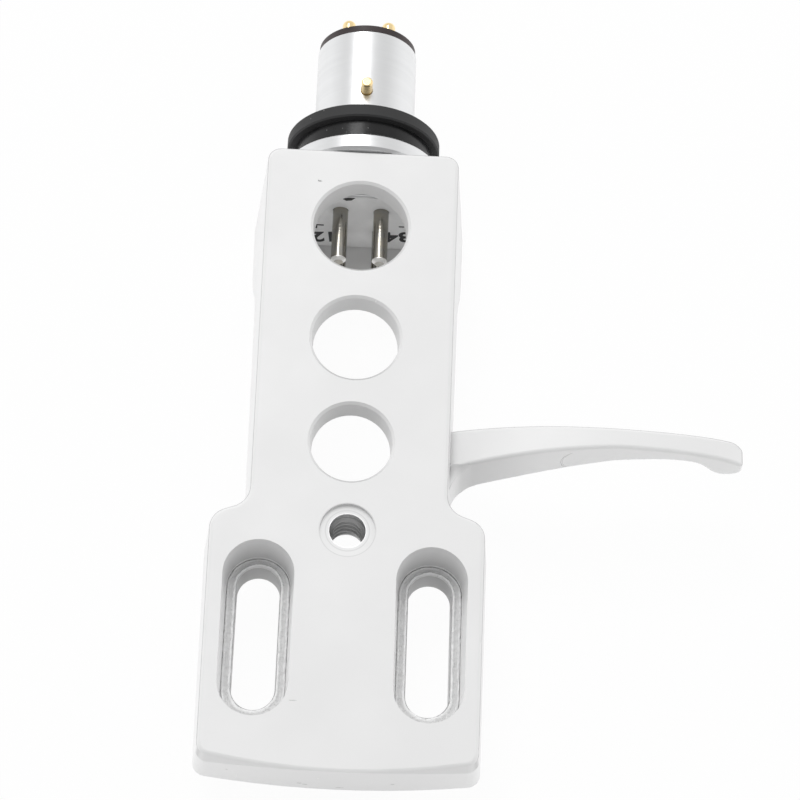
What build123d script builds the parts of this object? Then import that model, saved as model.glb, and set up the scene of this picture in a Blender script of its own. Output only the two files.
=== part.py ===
from build123d import *
import os
from math import radians, tan

# Turntable headshell, in millimetres.
# The origin is on the barrel's axis, in the plane of the gasket's rear face, where the tonearm's
# collar nut draws the headshell home. +Y runs back into the tonearm, +Z is up, and the finger lift
# points along +X. Everything in front of the collar therefore has a negative Y.

# Connector, as every tonearm with a bayonet collar takes it
barrel_diameter = 8.0
barrel_reach = 8.3          # from the seat plane to the barrel's open end
barrel_wall = 0.75
barrel_edge = 0.12          # small chamfer at the barrel's end
ring_diameter = 12.4
ring_thickness = 1.42
ring_edge = 0.2             # chamfer on both rims of the ring
gasket_diameter = 12.2
gasket_flange = 1.1         # thickness of the wide rubber lip
gasket_hub_diameter = 11.0
gasket_hub_length = 1.63
gasket_edge = 0.12
press_clearance = 0.02      # radial, between pieces that are pressed or glued together

# Insulator and terminals
cap_thickness = 0.55        # insulator cap that shows behind the barrel
cap_inset = 0.1             # how far its rim stays inside the barrel's outside
pin_spacing = 3.2           # square pattern, centre to centre
pin_diameter = 1.2
pin_front_reach = 4.75      # from the terminal wall forward into the neck
pin_front_chamfer = 0.22
contact_diameter = 1.1
contact_reach = 1.8         # from the insulator's cap backward
contact_dome = 0.5          # height of the rounded contact end
label_width = 8.3
label_height = 7.7
label_thickness = 0.12
label_corner = 0.4
label_pin_hole = 1.24
label_clearance = 0.05      # between the label's lower edge and the socket's floor

# Locating pin, pressed into the top of the barrel
locating_pin_y = 2.62
locating_pin_diameter = 0.96
locating_pin_height = 1.25  # above the barrel
locating_pin_sink = 0.6     # how far it goes into the barrel's wall
locating_pin_dome = 0.16
locating_pin_seat = 0.06    # countersink round its foot

# Shell, seen from the side
top_rear_height = 5.74      # top of the shell above the axis, at the rear face
top_slope = 3.55            # degrees, falling towards the front
seat_drop = 1.5             # cartridge seat, below the axis
block_drop = 6.05           # underside of the socket block, below the axis
block_length = 4.7          # from the rear face to where the ramp begins
ramp_length = 6.9           # from the block's underside up to the seat's level

# Shell, seen from above, at the height of its rear top edge
draft = 5.2                 # degrees, of the outer side walls
neck_width_rear = 14.92
neck_width_front = 14.25
neck_length = 29.6          # rear face to the inner corner of the shoulder
shoulder_rise = 1.05        # how far the shoulder slopes back towards the middle
plate_width_rear = 19.95
plate_width_front = 19.5
shoulder_inner_radius = 1.9
shoulder_outer_radius = 1.35
rear_corner_radius = 1.0
front_corner_radius = 1.0
front_bow = 0.62            # how far the front face bulges in the middle
bevel_bow = 0.98            # the same for the bevel above it, which widens towards the corners
bevel_inset = 0.05          # how far the bevel cuts into the top in the middle
bevel_lean = 25.0           # degrees from upright
top_edge_radius = 0.32
bottom_edge_radius = 0.22

# Inside of the neck
terminal_wall = 2.95        # thickness of the wall that holds the barrel
roof_thickness = 1.8
channel_width = 11.2        # at the seat's level
channel_draft = 2.0
channel_end_y = 33.8        # from the rear face to the channel's rounded front end
socket_floor_drop = 4.06
socket_floor_length = 3.4   # floor of the socket, in front of the terminal wall

# Round holes in the roof: distance from the rear face, and diameter at the roof's underside
lightening_holes = ((6.5, 7.12), (15.95, 6.47), (24.48, 5.94))
hole_draft = 4.0
hole_rim_bevel = 0.18

# Tapped hole, for a small balance weight
tapped_hole_y = 31.45       # from the rear face
thread_diameter = 2.7
spot_face_diameter = 4.12
spot_face_depth = 0.2
thread_lead_in = 0.12       # chamfer on the thread's upper end
thread_boss_diameter = 5.4
thread_boss_drop = 0.2      # end of the boss, below the axis

# Slots for the cartridge screws, half an inch apart
slot_spacing = 12.7
seat_to_slots = 43.2
slots_to_front = 10.7       # from the slots' middle to the middle of the front edge
slot_width = 3.2
slot_length = 11.2
web_thickness = 2.1         # metal left between the recess and the cartridge seat
slot_edge = 0.15            # chamfer on the upper edge of each slot
recess_width = 4.7          # at its floor
recess_behind = 6.25        # from the slot's middle to the recess's rear end
recess_ahead = 6.63         # and to its front end
recess_draft = 5.5

# Finger lift, cast in one with the shell. Its two lines are (distance from the neck, height above
# the axis), from inside the neck out to the turned-down tip.
lift_y = 22.3               # from the rear face to the lift's rear side
lift_root_width = 2.75
lift_tip_width = 1.45
lift_bend = 12.6            # from the neck to where the blade has its full slimness
lift_draft = 4.0
lift_top_line = (
    (-1.3, 1.25), (0.0, 1.95), (2.8, 3.05), (6.0, 3.88), (10.2, 4.3), (15.2, 4.08), (18.9, 3.5), (21.2, 2.75),
    (22.25, 2.15),
)
lift_bottom_line = (
    (22.25, 1.1), (21.2, 0.66), (20.3, 0.8), (19.1, 1.9), (17.6, 2.42), (13.9, 2.25), (10.2, 1.6), (3.4, -0.5),
    (0.0, -1.75), (-1.3, -2.3),
)
lift_root_radius = 1.2      # in the corner between the lift's front and the neck
lift_tip_radius = 0.4
lift_corner_radius = 1.0    # rear corner of the tip, seen from above
lift_edge_radius = 0.28

# Grub screw that holds the barrel, under the socket block
screw_diameter = 2.0
screw_length = 1.95
screw_slot_width = 0.35
screw_slot_depth = 0.5
screw_point = 0.25
screw_clearance = 0.03

# Places that follow from the sizes above
shell_rear = -(gasket_flange + gasket_hub_length + ring_thickness)
terminal_face = shell_rear - terminal_wall
slots_y = -seat_to_slots
shell_front = slots_y - slots_to_front
web_top = web_thickness - seat_drop
barrel_radius = barrel_diameter / 2
screw_y = (shell_rear + terminal_face) / 2
cap_rear = barrel_reach + cap_thickness
side_margin = 5.0


def top_height(y):
    """Height of the shell's sloping top above the axis, at a place along Y."""
    return top_rear_height - (shell_rear - y) * tan(radians(top_slope))


def from_rear(distance):
    """Y of a place that is measured forward from the shell's rear face."""
    return shell_rear - distance


def side_prism(points, half_width):
    """Solid with a side-view outline of (y, z) points, as wide as given each way."""
    outline = Plane.YZ.offset(-half_width) * make_face(Polyline(*points, close=True))
    return extrude(outline, amount=2 * half_width)


def on_top(edges):
    """Those of the edges that lie in the shell's sloping top."""
    return edges.filter_by(lambda e: abs(e.center().Z - top_height(e.center().Y)) < 0.03)


def round_bar(radius, y_from, y_to, x=0.0, z=0.0):
    """Cylinder along Y."""
    disc = Plane(origin=(x, y_from, z), x_dir=(1, 0, 0), z_dir=(0, 1, 0)) * Circle(radius)
    return extrude(disc, amount=y_to - y_from)


def turned(profile, x=0.0, z=0.0):
    """Solid turned about a line along Y, from (radius, y) points."""
    face = make_face(Polyline(*[(r, y, 0) for r, y in profile], close=True))
    return Pos(x, 0, z) * revolve(face, Axis.Y, 360)


def rounded_outline(corners):
    """Face from (x, y, radius) corners, each rounded by its own radius."""
    face = make_face(Polyline(*[(x, y) for x, y, _ in corners], close=True))
    for x, y, radius in corners:
        if radius:
            face = fillet(face.vertices().sort_by_distance((x, y, 0))[0], radius)
    return face


def shell_plan():
    """Outline of the shell from above, at the height of its rear top edge, past both its ends."""
    inner_y = from_rear(neck_length)
    outer_y = inner_y - shoulder_rise
    past_rear = shell_rear + side_margin
    past_front = shell_front - side_margin
    half = (
        (neck_width_rear / 2, past_rear, 0),
        (neck_width_front / 2, inner_y, shoulder_inner_radius),
        (plate_width_rear / 2, outer_y, shoulder_outer_radius),
        (plate_width_front / 2, past_front, 0),
    )
    return rounded_outline(half + tuple((-x, y, r) for x, y, r in reversed(half)))


def side_outline():
    """The shell from the side: sloping top, flat cartridge seat, ramp and socket block."""
    front = shell_front
    block_front = from_rear(block_length)
    ramp_front = block_front - ramp_length
    ramp = Spline(
        (ramp_front, -seat_drop),
        (block_front, -block_drop),
        tangents=((1, 0), (1, 0)),
        tangent_scalars=(1.2, 1.2),
    )
    straight = Polyline(
        (block_front, -block_drop),
        (shell_rear, -block_drop),
        (shell_rear, top_height(shell_rear)),
        (front, top_height(front)),
        (front, -seat_drop),
        (ramp_front, -seat_drop),
    )
    return make_face(ramp + straight)


def bowed_plan(front, bow):
    """Face from above that ends in front in an arc, with a given bulge over the plate's width."""
    half = plate_width_rear / 2 + side_margin
    half_plate = plate_width_front / 2
    bow_radius = (half_plate**2 + bow**2) / (2 * bow)
    edge_y = front + bow_radius - (bow_radius**2 - half**2) ** 0.5
    arc = ThreePointArc((-half, edge_y), (0, front), (half, edge_y))
    sides = Polyline((half, edge_y), (half, side_margin), (-half, side_margin), (-half, edge_y))
    return make_face(arc + sides)


def front_bound():
    """Everything behind the front face and behind the leaning bevel above it."""
    height = block_drop + top_rear_height + 2 * side_margin
    upright = Pos(0, 0, -block_drop - side_margin) * extrude(bowed_plan(shell_front, front_bow), amount=height)
    top = top_height(shell_front)
    shift = side_margin * tan(radians(bevel_lean))
    upper = Pos(0, 0, top + side_margin) * bowed_plan(shell_front + bevel_inset + shift, bevel_bow)
    leaning = extrude(upper, amount=-height, taper=-bevel_lean)
    return upright & leaning


def shell_body():
    """Outer form of the casting, with drafted sides and rounded corners."""
    depth = top_rear_height + block_drop
    plan = Pos(0, 0, top_rear_height) * shell_plan()
    body = extrude(plan, amount=-depth, taper=-draft)
    half = plate_width_rear / 2 + side_margin
    side = extrude(Plane.YZ.offset(-half) * side_outline(), amount=2 * half)
    body = body & side & front_bound()

    upright = body.edges().filter_by(lambda e: abs(e.tangent_at(0.5).Z) > 0.9)
    rear = upright.sort_by(Axis.Y)[-2:]
    body = fillet(rear, rear_corner_radius)
    upright = body.edges().filter_by(lambda e: abs(e.tangent_at(0.5).Z) > 0.8)
    front = upright.filter_by(lambda e: e.center().Y < shell_front + 2 * front_corner_radius)
    body = fillet(front, front_corner_radius)

    body = fillet(on_top(body.edges()), top_edge_radius)
    below = body.edges().filter_by(lambda e: e.bounding_box().max.Z < -seat_drop + 0.01)
    ramp_front = from_rear(block_length + ramp_length)
    crossing = [e for e in below if abs(e.center().X) < 0.1 and ramp_front - 0.1 < e.center().Y < shell_rear - 1]
    return fillet([e for e in below if e not in crossing], bottom_edge_radius)


def neck_wall_x():
    """How far out the neck's wall stands where the lift leaves it, at the seat's level."""
    return (neck_width_rear + neck_width_front) / 4 + seat_drop * tan(radians(draft))


def lift_view():
    """The lift from the front, as thick along Y as anything that is cut by it."""
    wall_x = neck_wall_x()
    rear_y = from_rear(lift_y)
    top = [(wall_x + x, z) for x, z in lift_top_line]
    bottom = [(wall_x + x, z) for x, z in lift_bottom_line]
    outline = Spline(*top) + Line(top[-1], bottom[0]) + Spline(*bottom) + Line(bottom[-1], top[0])
    view = make_face(outline)
    view = fillet(view.vertices().sort_by_distance((*top[-1], 0))[0], lift_tip_radius)
    view = fillet(view.vertices().sort_by_distance((*bottom[0], 0))[0], lift_tip_radius)
    return extrude(Plane.XZ.offset(-rear_y - side_margin) * view, amount=4 * side_margin)


def finger_lift():
    """Arched blade with a turned-down tip: its front view cut by its tapering plan."""
    wall_x = neck_wall_x()
    root_x = wall_x + lift_top_line[0][0]
    rear_y = from_rear(lift_y)
    tip_x = wall_x + lift_top_line[-1][0] - 0.02
    knee = wall_x + lift_bend
    plan_corners = (
        (root_x, rear_y, 0),
        (tip_x, rear_y, lift_corner_radius),
        (tip_x, rear_y - lift_tip_width, lift_tip_radius),
        (knee, rear_y - lift_tip_width - 0.05, lift_bend),
        (wall_x, rear_y - lift_root_width, lift_bend),
        (root_x, rear_y - lift_root_width, 0),
    )
    plan = Pos(0, 0, side_margin) * rounded_outline(plan_corners)
    blade = lift_view() & extrude(plan, amount=-4 * side_margin, taper=-lift_draft)
    above_seat = Box(2 * tip_x, 4 * side_margin, 2 * side_margin)
    blade = blade & Pos(tip_x, rear_y, side_margin - seat_drop) * above_seat
    inside = -lift_top_line[0][0] - 0.05
    free = blade.edges().filter_by(
        lambda e: e.bounding_box().max.X > wall_x - inside and e.bounding_box().max.Z > 0.05 - seat_drop
    )
    return fillet(free, lift_edge_radius)


def lift_root():
    """Rounded corner between the lift's front and the neck's wall."""
    wall_x = neck_wall_x() - (side_margin + seat_drop) * tan(radians(lift_draft))
    radius = lift_root_radius
    front_y = from_rear(lift_y) - lift_root_width
    edges = Polyline(
        (wall_x, front_y - radius),
        (wall_x - radius, front_y - radius),
        (wall_x - radius, front_y + radius),
        (wall_x + radius, front_y + radius),
        (wall_x + radius, front_y),
    )
    bulge = radius * (1 - 0.5**0.5)
    middle = (wall_x + bulge, front_y - bulge)
    arc = ThreePointArc((wall_x + radius, front_y), middle, (wall_x, front_y - radius))
    plan = Pos(0, 0, side_margin) * make_face(edges + arc)
    corner = extrude(plan, amount=bottom_edge_radius - seat_drop - side_margin, taper=-lift_draft)
    return corner & Pos(0, 0, -lift_edge_radius) * lift_view()


def stadium(width, length):
    """Slot outline about the origin, its length along Y."""
    return Rot(0, 0, 90) * SlotOverall(length, width)


def channel():
    """Space inside the neck: open below, closed by the roof, the terminal wall and the socket floor."""
    floor_y = terminal_face - socket_floor_length
    front_y = from_rear(channel_end_y)
    below = block_drop + side_margin
    outline = (
        (terminal_face, -socket_floor_drop),
        (floor_y, -socket_floor_drop),
        (floor_y, -below),
        (front_y, -below),
        (front_y, top_height(front_y) - roof_thickness),
        (terminal_face, top_height(terminal_face) - roof_thickness),
    )
    width = channel_width + 2 * (below - seat_drop) * tan(radians(channel_draft))
    plan_length = 2 * channel_end_y
    plan = Pos(0, front_y + plan_length / 2, -below) * stadium(width, plan_length)
    space = extrude(plan, amount=below + top_rear_height, taper=channel_draft)
    space = space & side_prism(outline, channel_width)
    boss_y = from_rear(tapped_hole_y)
    boss = Pos(0, boss_y, side_margin - thread_boss_drop) * Cylinder(thread_boss_diameter / 2, 2 * side_margin)
    return space - boss


def hole_cutter(y, diameter):
    """Cone of one lightening hole, wider towards the top."""
    under = top_height(y) - roof_thickness
    lean = side_margin * tan(radians(hole_draft))
    cone = Cone(diameter / 2 - lean, diameter / 2 + lean, 2 * side_margin)
    return Pos(0, y, under) * cone


def tapped_hole_cutter():
    """Plain bore at the thread's outside diameter, with its lead-in and the spot face round it."""
    y = from_rear(tapped_hole_y)
    top = top_height(y)
    bore = Pos(0, y, top) * Cylinder(thread_diameter / 2, 4 * side_margin)
    face = top - spot_face_depth
    spot = Pos(0, y, face) * Cylinder(
        spot_face_diameter / 2, side_margin, align=(Align.CENTER, Align.CENTER, Align.MIN)
    )
    lead_in = Pos(0, y, face) * Cone(
        thread_diameter / 2 - thread_lead_in, thread_diameter / 2 + thread_lead_in, 2 * thread_lead_in
    )
    return bore + spot + lead_in


def slot_cutter(side):
    """Through slot with its chamfered edge, and the recess for the screw head above it."""
    place = Pos(side * slot_spacing / 2, slots_y, 0)
    through = Pos(0, 0, -seat_drop - 1) * extrude(stadium(slot_width, slot_length), amount=side_margin)
    edge = extrude(stadium(slot_width + 2 * slot_edge, slot_length + 2 * slot_edge), amount=-slot_edge, taper=45)
    floor = Pos(0, (recess_behind - recess_ahead) / 2, 0) * stadium(recess_width, recess_behind + recess_ahead)
    recess = extrude(floor, amount=side_margin, taper=-recess_draft)
    return place * (through + Pos(0, 0, web_top) * edge + Pos(0, 0, web_top) * recess)


def shell():
    """The casting: outer form and lift, with the neck hollowed and all holes cut."""
    rear_holes = [hole_cutter(from_rear(y), diameter) for y, diameter in lightening_holes]
    casting = shell_body() + finger_lift() + lift_root() - channel()
    for cutter in rear_holes:
        casting = casting - cutter
    rims = on_top(casting.edges()).filter_by(lambda e: e.is_closed)
    casting = chamfer(rims, hole_rim_bevel)
    casting = casting - tapped_hole_cutter()
    for side in (-1, 1):
        casting = casting - slot_cutter(side)
    casting = casting - round_bar(barrel_radius + press_clearance, terminal_face - 1, shell_rear + 1)
    screw_bore = Cylinder(screw_diameter / 2 + screw_clearance, block_drop, align=(Align.CENTER, Align.CENTER, Align.MAX))
    return casting - Pos(0, screw_y, -barrel_radius / 2) * screw_bore


def connector_barrel():
    """Tube with its wide ring and the seat of the locating pin."""
    edge = barrel_edge
    profile = (
        (barrel_radius - barrel_wall, terminal_face),
        (barrel_radius, terminal_face),
        (barrel_radius, shell_rear),
        (ring_diameter / 2 - ring_edge, shell_rear),
        (ring_diameter / 2, shell_rear + ring_edge),
        (ring_diameter / 2, shell_rear + ring_thickness - ring_edge),
        (ring_diameter / 2 - ring_edge, shell_rear + ring_thickness),
        (barrel_radius, shell_rear + ring_thickness),
        (barrel_radius, barrel_reach - edge),
        (barrel_radius - edge, barrel_reach),
        (barrel_radius - barrel_wall, barrel_reach),
    )
    tube = turned(profile)
    seat = Cone(
        locating_pin_diameter / 2,
        locating_pin_diameter / 2 + 2 * locating_pin_seat,
        2 * locating_pin_seat,
    )
    bore = Cylinder(locating_pin_diameter / 2, 2 * locating_pin_sink)
    return tube - Pos(0, locating_pin_y, barrel_radius) * (seat + bore)


def locating_pin():
    """Short pin with a rounded top, pressed into the barrel."""
    length = locating_pin_sink + locating_pin_height
    radius = locating_pin_diameter / 2 - press_clearance
    pin = Cylinder(radius, length, align=(Align.CENTER, Align.CENTER, Align.MIN))
    pin = fillet(pin.edges().sort_by(Axis.Z)[-1], locating_pin_dome)
    return Pos(0, locating_pin_y, barrel_radius - locating_pin_sink) * pin


def gasket():
    """Rubber gasket: wide lip against the tonearm, narrower hub against the ring."""
    bore = barrel_radius + press_clearance
    lip = gasket_diameter / 2
    hub = gasket_hub_diameter / 2
    hub_front = shell_rear + ring_thickness
    edge = gasket_edge
    profile = (
        (bore, hub_front),
        (hub - edge, hub_front),
        (hub, hub_front + edge),
        (hub, -gasket_flange),
        (lip - edge, -gasket_flange),
        (lip, edge - gasket_flange),
        (lip, -edge),
        (lip - edge, 0),
        (bore, 0),
    )
    return turned(profile)


def pin_places():
    """Names and centres of the four contact pins, seen from behind the terminal wall's front."""
    half = pin_spacing / 2
    return {
        "upper_left": (-half, half),
        "upper_right": (half, half),
        "lower_left": (-half, -half),
        "lower_right": (half, -half),
    }


def insulator():
    """Insulating core of the barrel, with its cap and the bores of the four pins."""
    core = barrel_radius - barrel_wall - press_clearance
    cap = barrel_radius - cap_inset
    profile = (
        (0, terminal_face),
        (core, terminal_face),
        (core, barrel_reach),
        (cap, barrel_reach),
        (cap, cap_rear),
        (0, cap_rear),
    )
    body = turned(profile)
    for x, z in pin_places().values():
        body = body - round_bar(pin_diameter / 2 + press_clearance, terminal_face - 1, cap_rear + 1, x, z)
    return body


def contact_pin(x, z):
    """Turned pin: bevelled front end for the wire's clip, rounded contact at the rear."""
    radius = pin_diameter / 2
    contact = contact_diameter / 2
    front = terminal_face - pin_front_reach
    bevel = pin_front_chamfer
    rear = cap_rear + contact_reach
    profile = (
        (0, front),
        (radius - bevel, front),
        (radius, front + bevel),
        (radius, cap_rear),
        (contact, cap_rear),
        (contact, rear),
        (0, rear),
    )
    pin = turned(profile)
    pin = fillet(pin.edges().sort_by(Axis.Y)[-1], contact_dome)
    return Pos(x, 0, z) * pin


def terminal_label():
    """Thin printed label on the terminal wall, with a hole for each pin."""
    sheet = Pos(0, label_height / 2, 0) * RectangleRounded(label_width, label_height, label_corner)
    for x, z in pin_places().values():
        place = Pos(x, z + socket_floor_drop - label_clearance, 0)
        sheet = sheet - place * Circle(label_pin_hole / 2)
    front = Plane.XZ.offset(-terminal_face)
    label = extrude(front * sheet, amount=label_thickness)
    return Pos(0, 0, label_clearance - socket_floor_drop) * label


def grub_screw():
    """Slotted grub screw that clamps the barrel from below."""
    radius = screw_diameter / 2
    screw = Cylinder(radius, screw_length, align=(Align.CENTER, Align.CENTER, Align.MAX))
    screw = chamfer(screw.edges().sort_by(Axis.Z)[-1], screw_point)
    slot = Pos(0, 0, -screw_length) * Box(2 * screw_diameter, screw_slot_width, 2 * screw_slot_depth)
    return Pos(0, screw_y, -barrel_radius) * (screw - slot)


def write_part(name, solid):
    """One piece, one file."""
    solid.label = name
    export_step(solid, f"parts/{name}.step")


if __name__ == "__main__":
    os.makedirs("parts", exist_ok=True)
    write_part("shell", shell())
    write_part("connector_barrel", connector_barrel())
    write_part("locating_pin", locating_pin())
    write_part("gasket", gasket())
    write_part("insulator", insulator())
    for name, (x, z) in pin_places().items():
        write_part(f"contact_pin_{name}", contact_pin(x, z))
    write_part("terminal_label", terminal_label())
    write_part("grub_screw", grub_screw())
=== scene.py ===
"""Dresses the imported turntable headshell: paint, plating, rubber, printed label, cut thread, and the
light table that it is photographed on."""

import math

import bmesh
import bpy
from mathutils import Matrix, Vector, noise


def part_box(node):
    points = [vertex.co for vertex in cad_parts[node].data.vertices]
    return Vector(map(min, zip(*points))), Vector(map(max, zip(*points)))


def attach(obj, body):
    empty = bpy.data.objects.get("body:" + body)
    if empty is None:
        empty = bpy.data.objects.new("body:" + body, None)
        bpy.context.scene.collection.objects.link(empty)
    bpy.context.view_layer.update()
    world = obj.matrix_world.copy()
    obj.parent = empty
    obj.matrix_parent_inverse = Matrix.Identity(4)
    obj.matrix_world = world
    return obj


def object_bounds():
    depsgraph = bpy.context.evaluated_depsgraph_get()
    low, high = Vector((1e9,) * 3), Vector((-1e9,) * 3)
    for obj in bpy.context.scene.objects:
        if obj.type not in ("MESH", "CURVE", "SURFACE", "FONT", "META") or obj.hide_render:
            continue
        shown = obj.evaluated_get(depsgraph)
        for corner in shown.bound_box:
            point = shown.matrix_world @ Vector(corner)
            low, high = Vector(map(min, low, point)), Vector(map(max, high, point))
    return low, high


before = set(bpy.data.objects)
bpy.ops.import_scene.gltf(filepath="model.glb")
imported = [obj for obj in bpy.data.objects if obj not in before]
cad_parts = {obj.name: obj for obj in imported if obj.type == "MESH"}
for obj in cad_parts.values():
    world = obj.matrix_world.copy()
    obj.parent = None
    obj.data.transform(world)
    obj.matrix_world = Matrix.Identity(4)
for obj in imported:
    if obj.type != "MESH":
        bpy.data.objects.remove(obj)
CAD_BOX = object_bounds()
MM = 0.001

bl_info = {
    "name": "Headshell Dressing",
    "version": (1, 0, 0),
    "blender": (4, 5, 0),
    "location": "View3D > Sidebar > Headshell",
    "description": "Finishes and small details of a cast headshell, with its light table",
    "category": "Object",
}


def colour_setting(name, description, default):
    """Setting for a colour."""
    return bpy.props.FloatVectorProperty(
        name=name, description=description, subtype="COLOR", size=3, default=default
    )


def number_setting(name, description, default, low=0.0):
    """Setting for a plain number."""
    return bpy.props.FloatProperty(name=name, description=description, default=default, min=low)


def share_setting(name, description, default):
    """Setting for a share from 0 to 1."""
    return bpy.props.FloatProperty(
        name=name, description=description, subtype="FACTOR", default=default, min=0.0, max=1.0
    )


def length_setting(name, description, default, low=0.0):
    """Setting for a length, given in millimetres."""
    return bpy.props.FloatProperty(
        name=name, description=description, unit="LENGTH", default=default * MM, min=low * MM
    )


def turn_setting(name, description, default):
    """Setting for an angle, given in degrees."""
    return bpy.props.FloatProperty(
        name=name, description=description, unit="ROTATION", default=math.radians(default)
    )


class CastingPaint(bpy.types.PropertyGroup):
    """The paint on the casting."""

    colour: colour_setting("Paint", "Colour of the paint", (0.84, 0.84, 0.84))
    shade_colour: colour_setting("Thin paint", "Colour where the paint is thin", (0.78, 0.78, 0.78))
    chip_colour: colour_setting("Chip", "Colour of the metal in a chip", (0.12, 0.12, 0.12))
    grain: number_setting("Orange peel", "Millimetres between the paint's ripples", 0.55, 0.05)
    roughness: share_setting("Roughness", "Roughness of the dried paint", 0.4)


class ConnectorFinish(bpy.types.PropertyGroup):
    """The turned and plated pieces, the rubber and the plastic."""

    silver: colour_setting("Silver", "Turned barrel", (0.745, 0.75, 0.755))
    gold: colour_setting("Gold", "Plating of the pins' contacts", (0.95, 0.74, 0.4))
    pale_gold: colour_setting("Pale plating", "Worn plating of the front ends", (0.33, 0.325, 0.305))
    rubber: colour_setting("Rubber", "Gasket", (0.006, 0.006, 0.0065))
    plastic: colour_setting("Insulator", "Moulded insulator", (0.03, 0.022, 0.022))
    steel: colour_setting("Steel", "Grub screw", (0.16, 0.16, 0.17))


class LabelPrint(bpy.types.PropertyGroup):
    """The printed sheet behind the contact pins."""

    paper: colour_setting("Sheet", "Colour of the label", (0.93, 0.93, 0.93))
    ink: colour_setting("Ink", "Colour of the marks", (0.015, 0.015, 0.015))
    numeral_height: length_setting("Numerals", "Height of the numerals", 2.1, 0.1)
    left_numerals: bpy.props.StringProperty(
        name="Left", description="Numerals by the left pins", default="12"
    )
    right_numerals: bpy.props.StringProperty(
        name="Right", description="Numerals by the right pins", default="34"
    )


class ThreadSizes(bpy.types.PropertyGroup):
    """The thread in the hole for a balance weight."""

    pitch: length_setting("Pitch", "Rise per turn", 0.6, 0.1)
    crest_radius: length_setting("Crest radius", "Inner radius of the ridges", 1.17)
    wall_radius: length_setting("Wall radius", "Radius of the plain bore", 1.35)


class LightTable(bpy.types.PropertyGroup):
    """Table, light and camera."""

    table_colour: colour_setting("Table", "Colour of the table", (0.93, 0.93, 0.93))
    shadow: share_setting("Shadow", "How much of the table's shading the camera sees", 0.06)
    key_power: bpy.props.FloatProperty(
        name="Key", description="Power of the soft box", unit="POWER", default=0.75
    )
    front_level: number_setting("Front", "Level of the light in front", 0.45)
    rear_level: number_setting("Rear", "Level of the light behind", 0.87)
    side_level: number_setting("Sides", "Level of the low light at both sides", 1.25)
    glow: number_setting("Glow", "Level of the light from the table itself", 1.15)
    azimuth: turn_setting("Azimuth", "Camera's turn round the object", 3.479)
    elevation: turn_setting("Elevation", "Camera's height above the horizon", 63.241)
    roll: turn_setting("Roll", "Camera's tilt about its own line of sight", 5.901)
    distance: length_setting("Distance", "From the camera to its target", 216.127)
    focal_length: number_setting("Lens", "Focal length in millimetres", 126.59)


def new_tree(material):
    """Empty node tree of a new material, with its output."""
    material.use_nodes = True
    tree = material.node_tree
    tree.nodes.clear()
    return tree, tree.nodes.new("ShaderNodeOutputMaterial")


def add(tree, kind, inputs=None, **settings):
    """New node with its settings, and each input either a value or the output that feeds it."""
    node = tree.nodes.new(kind)
    for name, value in settings.items():
        setattr(node, name, value)
    for key, value in (inputs or {}).items():
        if isinstance(value, bpy.types.NodeSocket):
            tree.links.new(value, node.inputs[key])
        else:
            node.inputs[key].default_value = value
    return node


def maths(tree, operation, *values, clamp=False):
    """Output of one sum on numbers."""
    node = add(tree, "ShaderNodeMath", dict(enumerate(values)), operation=operation, use_clamp=clamp)
    return node.outputs[0]


def together(tree, *masks):
    """Masks and shares multiplied together."""
    total = masks[0]
    for mask in masks[1:]:
        total = maths(tree, "MULTIPLY", total, mask)
    return total


def apart(tree, value, middle):
    """Distance of a number from a middle value."""
    return maths(tree, "ABSOLUTE", maths(tree, "SUBTRACT", value, middle))


def vectors(tree, operation, *values):
    """Output of one sum on vectors: a vector, or a number for a length."""
    inputs = dict(enumerate(values))
    if operation == "SCALE":
        inputs = {0: values[0], "Scale": values[1]}
    node = add(tree, "ShaderNodeVectorMath", inputs, operation=operation)
    return node.outputs["Value" if operation == "LENGTH" else "Vector"]


def band(tree, value, low, high, start=0.0, end=1.0):
    """Value taken from one range to another, and held at its ends."""
    keys = {"Value": value, "From Min": low, "From Max": high, "To Min": start, "To Max": end}
    return add(tree, "ShaderNodeMapRange", keys, clamp=True).outputs[0]


def blend_colour(tree, mask, first, second):
    """Colour that goes from the first to the second by a mask."""
    node = add(tree, "ShaderNodeMix", {"Factor": mask}, data_type="RGBA")
    for socket, colour in ((node.inputs[6], first), (node.inputs[7], second)):
        if isinstance(colour, bpy.types.NodeSocket):
            tree.links.new(colour, socket)
        else:
            socket.default_value = (*colour, 1.0)
    return node.outputs[2]


def blend_value(tree, mask, first, second):
    """Number that goes from the first to the second by a mask."""
    keys = {"Factor": mask, 2: first, 3: second}
    return add(tree, "ShaderNodeMix", keys, data_type="FLOAT").outputs[0]


def grey(level):
    """Neutral colour."""
    return (level, level, level)


def millimetres(tree):
    """Place on the surface in the object's own frame, in millimetres."""
    place = add(tree, "ShaderNodeTexCoord").outputs["Object"]
    return vectors(tree, "SCALE", place, 1 / MM)


def split(tree, vector):
    """The three parts of a vector."""
    return add(tree, "ShaderNodeSeparateXYZ", {0: vector}).outputs


def facing_parts(tree):
    """The three parts of the direction that the surface faces, in the object's own frame."""
    return split(tree, add(tree, "ShaderNodeTexCoord").outputs["Normal"])


def new_group(name, inputs, outputs):
    """Empty shader group with named sockets; returns its tree, its input node and its output node."""
    tree = bpy.data.node_groups.new(name, "ShaderNodeTree")
    for label, kind, value in inputs:
        socket = tree.interface.new_socket(label, in_out="INPUT", socket_type=kind)
        socket.default_value = value
    for label, kind in outputs:
        tree.interface.new_socket(label, in_out="OUTPUT", socket_type=kind)
    return tree, tree.nodes.new("NodeGroupInput"), tree.nodes.new("NodeGroupOutput")


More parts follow.
